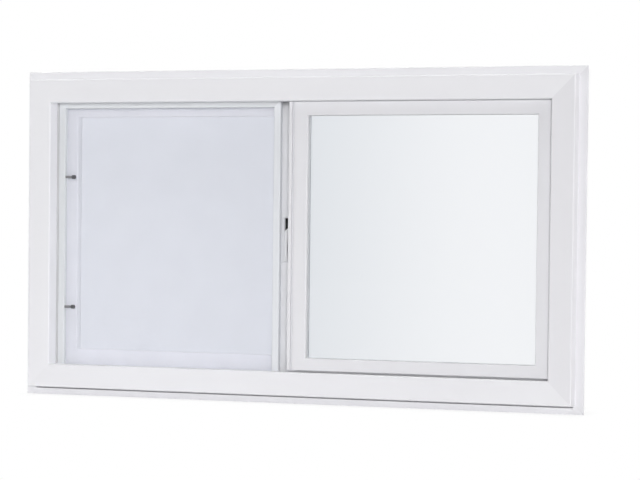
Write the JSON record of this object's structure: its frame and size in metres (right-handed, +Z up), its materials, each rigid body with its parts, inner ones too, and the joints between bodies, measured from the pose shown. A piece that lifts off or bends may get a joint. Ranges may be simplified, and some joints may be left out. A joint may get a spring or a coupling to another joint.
{
  "type": "horizontal sliding window",
  "caption": "White vinyl horizontal sliding window with a fixed sash, a sliding sash on a sill rail, a thumb latch and a half insect screen with spring plungers",
  "frame": {"origin": "under the middle of the sill, at half the frame's depth", "axes": "+X to the right seen from outdoors, +Y into the wall, +Z up; the outdoor face looks along -Y"},
  "size_m": [0.8066, 0.0666, 0.4509],
  "materials": {
    "white_vinyl": "smooth white vinyl extrusion, low gloss",
    "clear_glass": "clear float glass",
    "spacer_metal": "grey metal spacer bar",
    "white_enamel": "white enamelled roll-formed aluminium",
    "screen_cloth": "pale grey woven insect cloth",
    "spline_rubber": "pale round spline",
    "dark_steel": "dark plated steel pin",
    "latch_plastic": "white moulded plastic",
    "glide_nylon": "natural nylon"
  },
  "bodies": {
    "frame": {"fixed_bottom_rail": "white_vinyl", "fixed_glazing_beads": "white_vinyl", "fixed_inner_pane": "clear_glass", "fixed_meeting_stile": "white_vinyl", "fixed_outer_pane": "clear_glass", "fixed_right_stile": "white_vinyl", "fixed_spacer": "spacer_metal", "fixed_top_rail": "white_vinyl", "head": "white_vinyl", "left_jamb": "white_vinyl", "right_jamb": "white_vinyl", "screen_bottom_rail": "white_enamel", "screen_left_stile": "white_enamel", "screen_mesh": "screen_cloth", "screen_right_stile": "white_enamel", "screen_spline": "spline_rubber", "screen_top_rail": "white_enamel", "sill": "white_vinyl", "sill_rail": "white_vinyl"},
    "sliding_sash": {"sliding_bottom_rail": "white_vinyl", "sliding_glazing_beads": "white_vinyl", "sliding_inner_pane": "clear_glass", "sliding_left_stile": "white_vinyl", "sliding_meeting_stile": "white_vinyl", "sliding_outer_pane": "clear_glass", "sliding_spacer": "spacer_metal", "sliding_top_rail": "white_vinyl", "left_glide": "glide_nylon", "right_glide": "glide_nylon", "latch_housing": "latch_plastic"},
    "latch": {"latch_slider": "latch_plastic"},
    "upper_pin": {"upper_plunger": "dark_steel"},
    "lower_pin": {"lower_plunger": "dark_steel"}
  },
  "joints": [
    {"name": "sash_slide", "type": "slide", "parent": "frame", "child": "sliding_sash", "axis": [1, 0, 0], "range_m": [0, 0.355]},
    {"name": "latch_slide", "type": "slide", "parent": "sliding_sash", "child": "latch", "axis": [0, 0, 1], "range_m": [0, 0.013]},
    {"name": "upper_plunger_pull", "type": "slide", "parent": "frame", "child": "upper_pin", "axis": [1, 0, 0], "range_m": [0, 0.007], "stiffness_N_per_m": 300, "springref_m": -0.005},
    {"name": "lower_plunger_pull", "type": "slide", "parent": "frame", "child": "lower_pin", "axis": [1, 0, 0], "range_m": [0, 0.007], "stiffness_N_per_m": 300, "springref_m": -0.005}
  ]
}
